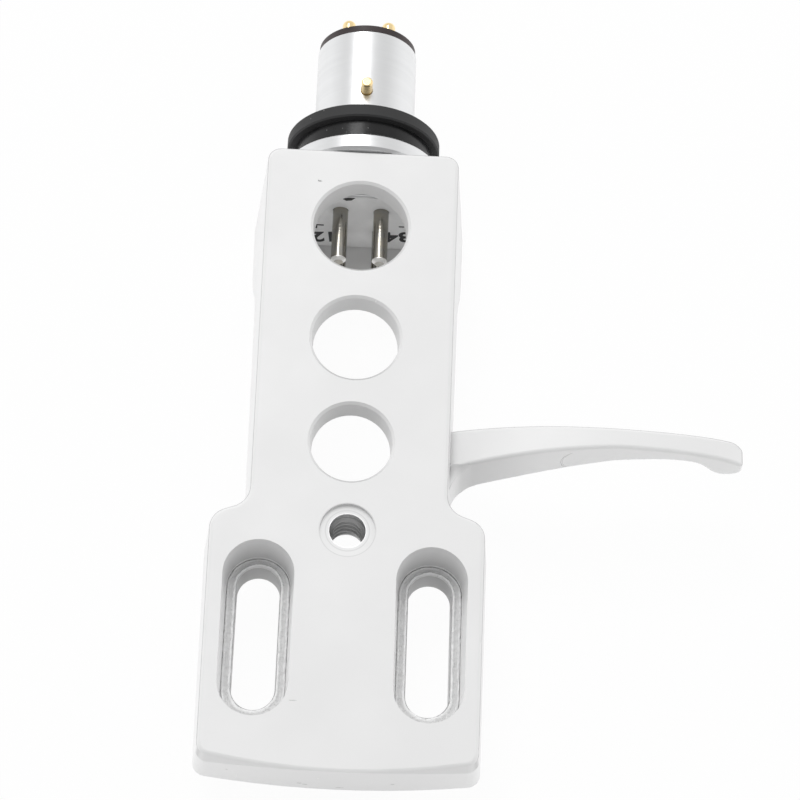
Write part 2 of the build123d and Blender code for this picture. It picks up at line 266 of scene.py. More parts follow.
def ripple_group():
    """Fine ripples and wide patches, as paint, rubber and moulded plastic have them."""
    name = "Surface Ripple"
    if name in bpy.data.node_groups:
        return bpy.data.node_groups[name]
    tree, given, result = new_group(
        name,
        [("Ripple Size", "NodeSocketFloat", 0.5), ("Patch Size", "NodeSocketFloat", 6.0)],
        [("Height", "NodeSocketFloat"), ("Patches", "NodeSocketFloat")],
    )
    place = millimetres(tree)
    fine_scale = maths(tree, "DIVIDE", 1.0, given.outputs["Ripple Size"])
    wide_scale = maths(tree, "DIVIDE", 1.0, given.outputs["Patch Size"])
    fine_keys = {"Vector": place, "Scale": fine_scale, "Detail": 2.0, "Roughness": 0.4}
    wide_keys = {"Vector": place, "Scale": wide_scale, "Detail": 3.0, "Roughness": 0.55}
    fine = add(tree, "ShaderNodeTexNoise", fine_keys)
    wide = add(tree, "ShaderNodeTexNoise", wide_keys)
    tree.links.new(fine.outputs[0], result.inputs["Height"])
    tree.links.new(band(tree, wide.outputs[0], 0.35, 0.65), result.inputs["Patches"])
    return tree


def turned_group():
    """Fine rings that a lathe leaves round the barrel's axis, on its sides and on its flat faces."""
    name = "Turned Lines"
    if name in bpy.data.node_groups:
        return bpy.data.node_groups[name]
    tree, given, result = new_group(
        name,
        [("Spacing", "NodeSocketFloat", 0.12)],
        [("Height", "NodeSocketFloat"), ("Shade", "NodeSocketFloat")],
    )
    parts = split(tree, millimetres(tree))
    flat = add(tree, "ShaderNodeCombineXYZ", {0: parts[0], 2: parts[2]}).outputs[0]
    facing = maths(tree, "ABSOLUTE", facing_parts(tree)[1])
    end_face = maths(tree, "GREATER_THAN", facing, 0.6)
    path = blend_value(tree, end_face, parts[1], vectors(tree, "LENGTH", flat))
    line = maths(tree, "DIVIDE", path, given.outputs["Spacing"])
    fine_keys = {"W": line, "Scale": 1.0, "Detail": 3.0}
    wide_keys = {"W": line, "Scale": 0.13, "Detail": 2.0}
    fine = add(tree, "ShaderNodeTexNoise", fine_keys, noise_dimensions="1D")
    wide = add(tree, "ShaderNodeTexNoise", wide_keys, noise_dimensions="1D")
    tree.links.new(fine.outputs[0], result.inputs["Height"])
    tree.links.new(band(tree, wide.outputs[0], 0.3, 0.7), result.inputs["Shade"])
    return tree


def blemish_group():
    """Soft-edged spot of a given size at a given place, with a ragged outline."""
    name = "Blemish"
    if name in bpy.data.node_groups:
        return bpy.data.node_groups[name]
    tree, given, result = new_group(
        name,
        [("Centre", "NodeSocketVector", (0, 0, 0)), ("Reach", "NodeSocketVector", (1, 1, 1))],
        [("Mask", "NodeSocketFloat")],
    )
    place = millimetres(tree)
    away = vectors(tree, "SUBTRACT", place, given.outputs["Centre"])
    ragged = add(tree, "ShaderNodeTexNoise", {"Vector": place, "Scale": 7.0, "Detail": 2.0}).outputs[0]
    length = vectors(tree, "LENGTH", vectors(tree, "DIVIDE", away, given.outputs["Reach"]))
    length = maths(tree, "ADD", length, band(tree, ragged, 0.3, 0.7, -0.35, 0.35))
    tree.links.new(band(tree, length, 1.0, 0.8), result.inputs["Mask"])
    return tree


def dust_group():
    """Scattered specks of dust: a mask that is 1 on a speck."""
    name = "Dust Specks"
    if name in bpy.data.node_groups:
        return bpy.data.node_groups[name]
    tree, given, result = new_group(
        name,
        [("Spacing", "NodeSocketFloat", 1.5), ("Share", "NodeSocketFloat", 0.3)],
        [("Mask", "NodeSocketFloat")],
    )
    scale = maths(tree, "DIVIDE", 1.0, given.outputs["Spacing"])
    cells = add(tree, "ShaderNodeTexVoronoi", {"Vector": millimetres(tree), "Scale": scale})
    chance = add(tree, "ShaderNodeSeparateColor", {0: cells.outputs["Color"]}).outputs[0]
    chosen = maths(tree, "LESS_THAN", chance, given.outputs["Share"])
    speck = band(tree, cells.outputs["Distance"], 0.1, 0.05)
    tree.links.new(maths(tree, "MULTIPLY", chosen, speck), result.inputs["Mask"])
    return tree


def use_group(tree, group, values=None):
    """Places a group in a material with its own values."""
    node = tree.nodes.new("ShaderNodeGroup")
    node.node_tree = group
    for key, value in (values or {}).items():
        node.inputs[key].default_value = value
    return node.outputs


def relief(tree, height, distance):
    """Normal from a height, whose full range stands for a real distance in millimetres."""
    keys = {"Height": height, "Distance": distance * MM, "Strength": 1.0}
    return add(tree, "ShaderNodeBump", keys).outputs[0]


def finish_surface(tree, output, sockets):
    """Principled shader at the end of a material."""
    shader = add(tree, "ShaderNodeBsdfPrincipled", sockets)
    tree.links.new(shader.outputs[0], output.inputs["Surface"])


# Where the label's front is along Y, in metres
LABEL_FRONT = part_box("terminal_label")[0][1]

# Where the pins' front ends are along Y, and where the gasket's wide lip begins, in millimetres
PIN_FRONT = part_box("contact_pin_upper_left")[0][1] / MM
GASKET_LIP = (-1.2, -1.08)

# The tapped hole for a balance weight: its place along Y in metres, and the radii of the two edges
# of its spot face in millimetres
WEIGHT_HOLE_Y = -35.6 * MM
SPOT_FACE_RINGS = (2.08, 1.62)

# The casting's sloping top: its height and place along Y at the rear, and its angle
TOP_HEIGHT = 5.74 * MM
TOP_REAR = -4.15 * MM
TOP_SLOPE = math.radians(3.55)

# Slots and recesses, in millimetres: how far they are from the middle, the height of the web that
# the slots go through, and half width, half length and place along Y of their rounded outlines
SLOT_X = 6.35
WEB_TOP = 0.6
SLOT_RIM = (1.6, 5.6, -43.2)
LEDGE = (2.35, 6.44, -43.39)

# Beads of paint along both edges of a ledge: share of the way across, half width as such a share,
# and height in millimetres
INNER_BEAD = (0.2, 0.14, 0.26)
OUTER_BEAD = (0.84, 0.11, 0.2)

# Chips, smudges and specks in the paint: (place on the surface, half sizes), in millimetres
CHIPS = (
    ((-3.3, -6.98, 5.57), (0.17, 0.05, 0.3)),
    ((-3.42, -6.92, 5.57), (0.06, 0.06, 0.3)),
    ((-8.82, -46.2, 3.0), (0.1, 0.14, 0.3)),
    ((8.06, -29.2, 0.42), (0.1, 0.4, 0.12)),
)
SMUDGES = (
    ((-2.64, -53.85, -0.33), (0.2, 0.3, 0.1)),
    ((-2.2, -53.85, -0.5), (0.26, 0.3, 0.09)),
    ((4.05, -53.85, 0.12), (0.16, 0.3, 0.1)),
    ((-7.88, -53.6, 0.92), (0.12, 0.4, 0.1)),
    ((0.32, -53.85, -0.8), (0.35, 0.3, 0.07)),
    ((-3.43, -48.8, 2.97), (0.3, 0.035, 0.2)),
    ((-7.95, -40.65, 0.5), (0.12, 0.3, 0.2)),
)
DUST = (
    ((1.4, -16.95, 4.85), (0.07, 0.07, 0.15)),
    ((-0.88, -26.06, 4.2), (0.05, 0.05, 0.12)),
    ((0.53, -25.82, 4.2), (0.05, 0.05, 0.12)),
    ((-7.17, -53.7, -0.07), (0.06, 0.4, 0.28)),
    ((-1.3, -53.85, 0.95), (0.06, 0.3, 0.1)),
    ((8.55, -29.1, -1.1), (0.09, 0.4, 0.12)),
)


def add_flaws(tree, flaws):
    """Mask of several blemishes together."""
    total = None
    for centre, reach in flaws:
        mask = use_group(tree, blemish_group(), {"Centre": centre, "Reach": reach})[0]
        total = mask if total is None else maths(tree, "MAXIMUM", total, mask)
    return total


def hair_arc(tree, place, centre, radius, width, limit_x):
    """Mask of a hair caught in the paint: part of a circle seen from the front."""
    away = vectors(tree, "SUBTRACT", place, centre)
    parts = split(tree, away)
    flat = add(tree, "ShaderNodeCombineXYZ", {0: parts[0], 2: parts[2]}).outputs[0]
    off_ring = apart(tree, vectors(tree, "LENGTH", flat), radius)
    ring = band(tree, off_ring, width, width / 3)
    return together(tree, ring, maths(tree, "LESS_THAN", parts[0], limit_x))


def from_slot(tree, parts):
    """Distances from the middle of the nearer slot, along it and across it."""
    along = apart(tree, parts[1], LEDGE[2])
    return along, apart(tree, maths(tree, "ABSOLUTE", parts[0]), SLOT_X)


def ledge_paint(tree, place, colour):
    """Grainy paint on the ledges, where the casting wasn't rubbed down before painting, with painted
    shade in the groove low on the ledge and a painted highlight on the beads.
    Returns the new colour, the mask of the ledges and the height of their grains."""
    parts = split(tree, place)
    along, across = from_slot(tree, parts)
    ledge = together(
        tree,
        band(tree, apart(tree, parts[2], WEB_TOP + 0.15), 0.26, 0.2),
        band(tree, along, LEDGE[1] + 0.1, LEDGE[1]),
        band(tree, across, LEDGE[0] + 0.15, LEDGE[0] + 0.05),
    )
    bead = together(tree, ledge, band(tree, parts[2], WEB_TOP + 0.14, WEB_TOP + 0.26))
    groove_painted_shade = together(tree, ledge, band(tree, parts[2], WEB_TOP + 0.16, WEB_TOP + 0.1, 0.0, 0.35))
    sand_keys = {"Vector": place, "Scale": 3.4, "Detail": 3.0, "Roughness": 0.65}
    sand = add(tree, "ShaderNodeTexNoise", sand_keys).outputs[0]
    pits = together(tree, ledge, band(tree, sand, 0.58, 0.7, 0.0, 0.5))
    # Painted shade in the groove low on the ledge
    colour = blend_colour(tree, groove_painted_shade, colour, grey(0.6))
    colour = blend_colour(tree, pits, colour, grey(0.5))
    # Painted highlight on the beads of paint
    colour = blend_colour(tree, bead, colour, grey(0.98))
    return colour, ledge, together(tree, ledge, band(tree, sand, 0.42, 0.62))


def wall_painted_shade_and_light(tree, place, ledge, colour):
    """Painted shade on the walls that face forward in the recesses, the slots and the round
    holes, and painted light on the long walls of the recesses, which are made lighter than the paint."""
    parts = split(tree, place)
    facing = facing_parts(tree)
    along, across = from_slot(tree, parts)
    recess = together(
        tree,
        maths(tree, "SUBTRACT", 1.0, ledge),
        band(tree, maths(tree, "ABSOLUTE", facing[2]), 0.9, 0.6),
        band(tree, along, LEDGE[1] + 0.7, LEDGE[1] + 0.6),
        band(tree, across, LEDGE[0] + 0.65, LEDGE[0] + 0.55),
    )

    # The rear wall of a recess, with painted shade that grows towards the web and is strongest in the
    # slot below it
    rear_wall = together(
        tree,
        recess,
        band(tree, parts[1], -40.6, -38.0),
        band(tree, parts[2], 3.1, 1.4, 0.2, 1.0),
        band(tree, parts[2], WEB_TOP + 0.02, WEB_TOP - 0.05, 0.6, 0.95),
    )

    # The forward-facing walls of the round holes, with painted shade that grows towards the front
    round_hole = together(
        tree,
        band(tree, maths(tree, "ABSOLUTE", parts[0]), 3.9, 3.7),
        band(tree, facing[1], -0.2, -0.85),
        band(tree, parts[1], -33.0, -32.0),
        band(tree, parts[1], -8.0, -26.0, 0.12, 0.42),
    )

    # The long walls of a recess above its web, with painted light
    long_wall = together(
        tree,
        recess,
        band(tree, parts[1], -40.0, -41.5, 0.0, 0.9),
        band(tree, parts[2], WEB_TOP - 0.1, WEB_TOP + 0.1),
    )

    # Painted shade on the rear walls and the round holes' walls, and painted light on the long walls
    colour = blend_colour(tree, rear_wall, colour, grey(0.5))
    colour = blend_colour(tree, round_hole, colour, grey(0.5))
    return blend_colour(tree, long_wall, colour, grey(0.98))


def edge_painted_shade(tree, place, colour):
    """Painted shade on the rounded edges, darker where they turn away from the eye, and painted
    shade on the finger lift's front near the neck."""
    parts = split(tree, place)
    facing = facing_parts(tree)
    steep = maths(tree, "ABSOLUTE", facing[2])
    grazing = add(tree, "ShaderNodeLayerWeight", {0: 0.5}).outputs["Facing"]

    # Painted shade on rounded edges: neither flat nor upright, and turned away from the eye
    edge = together(
        tree,
        band(tree, steep, 0.2, 0.32),
        band(tree, steep, 0.97, 0.88),
        band(tree, grazing, 0.4, 0.72, 0.0, 0.75),
    )

    # Painted shade on the lift's front, from the neck outward
    lift_root = together(
        tree,
        band(tree, parts[0], 14.5, 9.5),
        band(tree, parts[0], 8.0, 8.4),
        band(tree, parts[1], -34.5, -33.5),
        band(tree, facing[1], -0.2, -0.85, 0.0, 0.42),
    )

    # Painted shade on the edges and on the lift's front near the neck
    colour = blend_colour(tree, edge, colour, grey(0.3))
    return blend_colour(tree, lift_root, colour, grey(0.5))


def tapped_hole(tree, place, colour):
    """Bare wall of the hole that is tapped after painting, with painted shade along the edges of its
    spot face.
    Returns the new colour and the mask of the bare metal."""
    away = split(tree, vectors(tree, "SUBTRACT", place, (0.0, WEIGHT_HOLE_Y / MM, 0.0)))
    radial = add(tree, "ShaderNodeCombineXYZ", {0: away[0], 1: away[1]}).outputs[0]
    radius = vectors(tree, "LENGTH", radial)
    # Painted shade along the two edges of the spot face
    for ring in SPOT_FACE_RINGS:
        line = band(tree, apart(tree, radius, ring), 0.07, 0.02, 0.0, 0.3)
        colour = blend_colour(tree, line, colour, grey(0.45))
    wall = bpy.context.scene.headshell_thread.wall_radius / MM
    bare = band(tree, radius, wall + 0.05, wall + 0.02)
    return blend_colour(tree, bare, colour, grey(0.62)), bare


def casting_paint(look):
    """Satin paint with orange peel, its flaws, grainy ledges in the recesses, painted shade and
    highlights in the recesses and on the edges, and a bare tapped hole.
    """
    material = bpy.data.materials.new("casting_paint")
    tree, output = new_tree(material)
    place = millimetres(tree)
    ripple = use_group(tree, ripple_group(), {"Ripple Size": look.grain, "Patch Size": 7.0})
    patches = together(tree, ripple["Patches"], 0.3)
    colour = blend_colour(tree, patches, tuple(look.colour), tuple(look.shade_colour))
    colour, ledge, grains = ledge_paint(tree, place, colour)
    colour = wall_painted_shade_and_light(tree, place, ledge, colour)
    colour = edge_painted_shade(tree, place, colour)
    height = together(tree, ripple["Height"], 0.5)
    height = maths(tree, "ADD", height, together(tree, grains, 5.0))

    # Each flaw: its mask, how much of its colour shows, that colour, and how far it stands out
    hair = hair_arc(tree, place, centre=(17.15, -28.4, 2.4), radius=1.25, width=0.07, limit_x=-0.55)
    flaws = (
        (add_flaws(tree, CHIPS), 0.7, tuple(look.chip_colour), -3.0),
        (add_flaws(tree, SMUDGES), 0.5, grey(0.35), -0.6),
        (add_flaws(tree, DUST), 0.8, grey(0.95), 3.0),
        (hair, 0.9, grey(0.97), 9.0),
    )
    for mask, share, flaw_colour, rise in flaws:
        colour = blend_colour(tree, together(tree, mask, share), colour, flaw_colour)
        height = maths(tree, "ADD", height, together(tree, mask, rise))

    colour, bare = tapped_hole(tree, place, colour)
    roughness = blend_value(tree, ripple["Patches"], look.roughness, look.roughness + 0.06)
    finish_surface(tree, output, {
        "Base Color": colour,
        "Metallic": bare,
        "Roughness": blend_value(tree, ledge, roughness, 0.6),
        "IOR": 1.48,
        "Normal": relief(tree, height, 0.008),
    })
    return material


def turned_metal(name, colour, roughness, spacing, depth):
    """Turned and plated metal with fine lathe lines; their spacing and depth are in millimetres."""
    material = bpy.data.materials.new(name)
    tree, output = new_tree(material)
    lines = use_group(tree, turned_group(), {"Spacing": spacing})
    ripple = use_group(tree, ripple_group(), {"Ripple Size": 0.25, "Patch Size": 4.0})
    dull = tuple(0.93 * part for part in colour)
    shade = together(tree, lines["Shade"], 0.5)
    shade = maths(tree, "ADD", shade, together(tree, ripple["Patches"], 0.25))
    tone = blend_colour(tree, shade, colour, dull)
    gloss = blend_value(tree, lines["Shade"], roughness, roughness + 0.07)
    height = maths(tree, "ADD", lines["Height"], together(tree, ripple["Height"], 0.2))
    finish_surface(tree, output, {
        "Base Color": tone,
        "Metallic": 1.0,
        "Roughness": gloss,
        "Normal": relief(tree, height, depth),
    })
    return material


def contact_plating(look):
    """Gold on the contacts, wearing thin on the front ends where clips are pushed on and off, with a
    painted highlight on the bevel at each front end.
    """
    material = bpy.data.materials.new("contact_plating")
    tree, output = new_tree(material)
    place = millimetres(tree)
    along = split(tree, place)[1]
    lines = use_group(tree, turned_group(), {"Spacing": 0.16})
    rub = add(tree, "ShaderNodeTexNoise", {"Vector": place, "Scale": 1.3, "Detail": 3.0}).outputs[0]
    worn = together(tree, band(tree, along, -2.0, -6.0), band(tree, rub, 0.25, 0.6, 0.88, 1.0))
    colour = blend_colour(tree, worn, tuple(look.gold), tuple(look.pale_gold))
    colour = blend_colour(tree, together(tree, lines["Shade"], 0.3), colour, (0.3, 0.28, 0.24))
    facing = maths(tree, "ABSOLUTE", facing_parts(tree)[1])
    # Painted highlight on the bevel at each pin's front end
    at_front = band(tree, along, PIN_FRONT + 0.3, PIN_FRONT + 0.24)
    painted_tip_highlight = together(tree, at_front, band(tree, facing, 0.95, 0.85))
    colour = blend_colour(tree, painted_tip_highlight, colour, (0.82, 0.81, 0.79))
    finish_surface(tree, output, {
        "Base Color": colour,
        "Metallic": 1.0,
        "Roughness": blend_value(tree, painted_tip_highlight, blend_value(tree, lines["Shade"], 0.14, 0.22), 0.4),
        "Normal": relief(tree, lines["Height"], 0.008),
    })
    return material


def dark_moulding(name, colour, roughness, dust_spacing, dust_share, dust_strength, film=0.0):
    """Black rubber or plastic, slightly uneven, with dust on it and a grey film on its widest part."""
    material = bpy.data.materials.new(name)
    tree, output = new_tree(material)
    ripple = use_group(tree, ripple_group(), {"Ripple Size": 0.3, "Patch Size": 3.0})
    dust = use_group(tree, dust_group(), {"Spacing": dust_spacing, "Share": dust_share})[0]
    lighter = tuple(1.6 * part + 0.004 for part in colour)
    tone = blend_colour(tree, ripple["Patches"], colour, lighter)
    lip = band(tree, split(tree, millimetres(tree))[1], *GASKET_LIP, 0.0, film)
    tone = blend_colour(tree, lip, tone, grey(0.3))
    tone = blend_colour(tree, together(tree, dust, dust_strength), tone, grey(0.5))
    gloss = blend_value(tree, ripple["Patches"], roughness, roughness + 0.12)
    gloss = maths(tree, "ADD", gloss, together(tree, lip, 4.0), clamp=True)
    finish_surface(tree, output, {
        "Base Color": tone,
        "Roughness": blend_value(tree, dust, gloss, 0.9),
        "Specular IOR Level": 0.3,
        "Normal": relief(tree, ripple["Height"], 0.006),
    })
    return material


def label_sheet(look):
    """Matt paper, a little mottled."""
    material = bpy.data.materials.new("label_sheet")
    tree, output = new_tree(material)
    ripple = use_group(tree, ripple_group(), {"Ripple Size": 0.12, "Patch Size": 2.2})
    soiled = tuple(0.9 * part for part in look.paper)
    finish_surface(tree, output, {
        "Base Color": blend_colour(tree, ripple["Patches"], tuple(look.paper), soiled),
        "Roughness": blend_value(tree, ripple["Patches"], 0.65, 0.75),
        "Normal": relief(tree, ripple["Height"], 0.004),
    })
    return material


def printing_ink(look):
    """Black ink with uneven cover."""
    material = bpy.data.materials.new("printing_ink")
    tree, output = new_tree(material)
    ripple = use_group(tree, ripple_group(), {"Ripple Size": 0.08, "Patch Size": 0.5})
    finish_surface(tree, output, {
        "Base Color": blend_colour(tree, ripple["Patches"], tuple(look.ink), grey(0.05)),
        "Roughness": blend_value(tree, ripple["Patches"], 0.45, 0.6),
        "Normal": relief(tree, ripple["Height"], 0.002),
    })
    return material


def cover(node_name, material):
    """Gives a CAD node its finish."""
    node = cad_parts[node_name]
    node.data.materials.clear()
    node.data.materials.append(material)


def new_piece(name, mesh, material):
    """Object for a finished mesh, riding on the headshell."""
    mesh.materials.clear()
    mesh.materials.append(material)
    piece = bpy.data.objects.new(name, mesh)
    bpy.context.scene.collection.objects.link(piece)
    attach(piece, "root")
    return piece


def bridge(mesh, before, after):
    """Faces between two closed rings of points."""
    for corner in range(len(before)):
        beside = (corner + 1) % len(before)
        mesh.faces.new((before[corner], after[corner], after[beside], before[beside]))


def finished_mesh(mesh, name, smooth=False):
    """Mesh with all its faces turned outward."""
    bmesh.ops.recalc_face_normals(mesh, faces=mesh.faces)
    data = bpy.data.meshes.new(name)
    mesh.to_mesh(data)
    mesh.free()
    if smooth:
        data.shade_smooth()
    return data


def top_height(y):
    """Height of the casting's sloping top, in metres."""
    return TOP_HEIGHT - (TOP_REAR - y) * math.tan(TOP_SLOPE)


def thread_ridge():
    """Helical ridge on the wall of the tapped hole, running out at both ends."""
    sizes = bpy.context.scene.headshell_thread
    steps = 48
    run_out = steps / 3
    bottom = 0.12 * MM
    top = top_height(WEIGHT_HOLE_Y) - 0.58 * MM
    root = sizes.wall_radius + 0.01 * MM
    half_root = 0.46 * sizes.pitch
    half_crest = 0.07 * sizes.pitch
    count = int((top - bottom) / sizes.pitch * steps)
    mesh = bmesh.new()
    rings = []
    for index in range(count + 1):
        angle = math.tau * index / steps
        level = bottom + sizes.pitch * index / steps
        fade = min(1.0, index / run_out, (count - index) / run_out)
        crest = sizes.wall_radius - fade * (sizes.wall_radius - sizes.crest_radius)
        section = ((root, -half_root), (crest, -half_crest), (crest, half_crest), (root, half_root))
        ring = []
        for radius, rise in section:
            point = (radius * math.cos(angle), WEIGHT_HOLE_Y + radius * math.sin(angle), level + rise)
            ring.append(mesh.verts.new(point))
        rings.append(ring)
    for before, after in zip(rings, rings[1:]):
        bridge(mesh, before, after)
    mesh.faces.new(rings[0])
    mesh.faces.new(list(reversed(rings[-1])))
    return finished_mesh(mesh, "weight_thread")


def on_stadium(outline, share):
    """Point at a share of the way round an outline with straight sides and round ends."""
    half_width, half_length, middle = outline
    straight = half_length - half_width
    quarter = 4 * share % 4
    side = 1 if quarter < 2 else -1
    part = quarter % 2
    if part < 1:
        return side * half_width, middle + side * straight * (2 * part - 1)
    angle = (part - 1) * math.pi
    return side * half_width * math.cos(angle), middle + side * (straight + half_width * math.sin(angle))


def bead_height(bead, share):
    """Height of a bead of paint at a share of the way across a ledge."""
    middle, half_width, height = bead
    return height * math.exp(-(((share - middle) / half_width) ** 2))


def paint_height(x, y, side, share):
    """Height of the paint above a ledge, between its two ends: uneven beads, and grains."""
    sway = 0.07 * noise.noise(Vector((1.1 * x, 1.1 * y, side)))
    grain = 0.04 * noise.noise(Vector((7 * x, 7 * y, 3 * side)))
    swell = 0.75 + 0.5 * noise.noise(Vector((2.3 * x, 2.3 * y, 5 * side)))
    beads = bead_height(INNER_BEAD, share - sway) + bead_height(OUTER_BEAD, share + sway)
    return 0.07 + swell * beads + grain


def ledge_skin():
    """Thick grainy paint on the ledge round each slot, with a bead along both its edges."""
    stations = 560
    lanes = 12
    height_at_slot = -0.02
    height_at_wall = 0.11
    depth = 0.2
    mesh = bmesh.new()
    for side in (-1, 1):
        rings = []
        for station in range(stations):
            inner = on_stadium(SLOT_RIM, station / stations)
            outer = on_stadium(LEDGE, station / stations)
            ring = []
            for lane in range(lanes + 1):
                share = lane / lanes
                x = side * SLOT_X + inner[0] + share * (outer[0] - inner[0])
                y = inner[1] + share * (outer[1] - inner[1])
                height = paint_height(x, y, side, share)
                if lane == 0:
                    height = height_at_slot
                if lane == lanes:
                    height = height_at_wall
                ring.append(mesh.verts.new((x * MM, y * MM, (WEB_TOP + height) * MM)))
            for place in (outer, inner):
                below = ((side * SLOT_X + place[0]) * MM, place[1] * MM, (WEB_TOP - depth) * MM)
                ring.append(mesh.verts.new(below))
            rings.append(ring)
        for before, after in zip(rings, rings[1:] + rings[:1]):
            bridge(mesh, before, after)
    return finished_mesh(mesh, "ledge_skin", smooth=True)


def reach_shell(start, direction):
    """Place where a line from a point meets the casting, in millimetres."""
    hit, place, _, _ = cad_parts["shell"].ray_cast(Vector(start) * MM, Vector(direction))
    if not hit:
        raise RuntimeError("the lift's corner found no casting to sit on")
    return place / MM


def lift_corner():
    """Rounded corner between the finger lift's front and the neck's wall, in millimetres."""
    radius = 1.9
    sink = 0.02
    bottom = -1.3
    top = 1.9
    bottom_rounding = 0.3
    top_rounding = 0.45
    behind = 0.3
    steps = 14
    rows = 22

    # Where the lift's front and the neck's wall are, at two heights
    levels = (0.2, 1.4)
    near = 9.2
    far = 11.0
    ahead = -32.4
    front = [reach_shell((near, ahead, level), (0, 1, 0)).y for level in levels]
    far_front = reach_shell((far, ahead, levels[0]), (0, 1, 0)).y
    slope = (far_front - front[0]) / (far - near)
    wall = [reach_shell((20.0, front[0] - 2.0, level), (-1, 0, 0)).x for level in levels]

    def between(pair, z):
        share = (z - levels[0]) / (levels[1] - levels[0])
        return pair[0] + share * (pair[1] - pair[0])

    mesh = bmesh.new()
    columns = []
    for step in range(steps + 1):
        angle = math.radians(90) * step / steps
        away = radius * (1 - math.cos(angle))
        along = radius * (1 - math.sin(angle))
        low = max(bottom - 0.02, bottom - 0.34 + 0.36 * away)
        high = top + 0.42 * away
        column = []
        for row in range(rows + 1):
            share = row / rows
            z = low + share * (high - low)
            from_top = (1 - share) * (high - low) / top_rounding
            from_bottom = 0.45 + share * (high - low) / bottom_rounding
            end = min(1.0, from_top, from_bottom)
            fullness = math.sqrt(max(0.0, 1 - (1 - end) ** 2))
            x = between(wall, z) - sink + fullness * away
            y = between(front, z) + slope * (x - near) + sink - fullness * along
            column.append(mesh.verts.new((x * MM, y * MM, z * MM)))
        columns.append(column)
    spine = []
    for row in range(rows + 1):
        z = bottom + row / rows * (top - bottom)
        point = Vector((between(wall, z) - behind, between(front, z) + behind, z))
        spine.append(mesh.verts.new(point * MM))
    columns.append(spine)
    for before, after in zip(columns, columns[1:] + columns[:1]):
        for row in range(rows):
            mesh.faces.new((before[row], after[row], after[row + 1], before[row + 1]))
    mesh.faces.new([column[0] for column in columns])
    mesh.faces.new([column[-1] for column in reversed(columns)])
    return finished_mesh(mesh, "lift_corner", smooth=True)


def text_mesh(words, height, centre, tilt):
    """Mesh of numerals upside down on the label's front, with a little thickness."""
    curve = bpy.data.curves.new("numerals", "FONT")
    curve.body = words
    curve.size = height
    curve.extrude = 0.006 * MM
    curve.offset = 0.07 * MM
    curve.align_x = "CENTER"
    curve.align_y = "CENTER"
    helper = bpy.data.objects.new("numerals", curve)
    data = bpy.data.meshes.new_from_object(helper)
    bpy.data.objects.remove(helper)
    bpy.data.curves.remove(curve)
    turn = Matrix.Rotation(math.pi - tilt, 4, "Y") @ Matrix.Rotation(math.pi / 2, 4, "X")
    data.transform(Matrix.Translation(centre) @ turn)
    return data


def add_slab(mesh, corners, back, front):
    """Thin slab of ink: corners are (x, z) in millimetres."""
    near = [mesh.verts.new((x * MM, front, z * MM)) for x, z in corners]
    far = [mesh.verts.new((x * MM, back, z * MM)) for x, z in corners]
    mesh.faces.new(near)
    mesh.faces.new(list(reversed(far)))
    for index in range(len(corners)):
        beside = (index + 1) % len(corners)
        mesh.faces.new((near[index], far[index], far[beside], near[beside]))


def label_marks():
    """Numerals, two corner marks and a dark patch at the label's top edge, in one mesh."""
    look = bpy.context.scene.headshell_label
    front = LABEL_FRONT - 0.012 * MM
    back = LABEL_FRONT + 0.004 * MM
    tilt = math.radians(5)
    mesh = bmesh.new()
    for words, x, z in ((look.left_numerals, -2.8, -2.5), (look.right_numerals, 3.05, -2.0)):
        centre = Vector((x * MM, LABEL_FRONT - 0.004 * MM, z * MM))
        data = text_mesh(words, look.numeral_height, centre, tilt)
        mesh.from_mesh(data)
        bpy.data.meshes.remove(data)
    stroke = 0.17
    width = 0.68
    fall = 0.62
    for x, z, side in ((-3.56, -0.66, 1), (3.76, -0.34, -1)):
        across = x + side * width
        inner = x + side * stroke
        under = z - stroke
        low = z - fall
        add_slab(mesh, ((x, z), (across, z), (across, under), (x, under)), back, front)
        add_slab(mesh, ((x, under), (inner, under), (inner, low), (x, low)), back, front)
    # Dark patch along the label's top edge, under the hole's rim
    dark_top_patch = ((-1.5, 3.44), (-1.2, 3.2), (-0.8, 3.28), (-0.5, 3.67), (-1.0, 3.68), (-1.3, 3.6))
    add_slab(mesh, dark_top_patch, back, front)
    return finished_mesh(mesh, "label_print")


class HEADSHELL_OT_paint_casting(bpy.types.Operator):
    """Paints the casting"""

    bl_idname = "headshell.paint_casting"
    bl_label = "Paint Casting"

    def execute(self, context):
        paint = casting_paint(context.scene.headshell_paint)
        cover("shell", paint)
        new_piece("ledge_skin", ledge_skin(), paint)
        new_piece("lift_corner", lift_corner(), paint)
        return {"FINISHED"}


class HEADSHELL_OT_plate_connector(bpy.types.Operator):
    """Finishes the barrel, the locating pin, the contact pins and the grub screw"""

    bl_idname = "headshell.plate_connector"
    bl_label = "Plate Connector"

    def execute(self, context):
        look = context.scene.headshell_connector
        finishes = (
            ("connector_barrel", "turned_silver", look.silver, 0.29, 0.1, 0.0015),
            ("locating_pin", "locating_gold", look.gold, 0.22, 0.08, 0.003),
            ("grub_screw", "blackened_steel", look.steel, 0.35, 0.1, 0.005),
        )
        for node_name, name, colour, roughness, spacing, depth in finishes:
            cover(node_name, turned_metal(name, tuple(colour), roughness, spacing, depth))
        plating = contact_plating(look)
        for node_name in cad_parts:
            if node_name.startswith("contact_pin"):
                cover(node_name, plating)
        return {"FINISHED"}


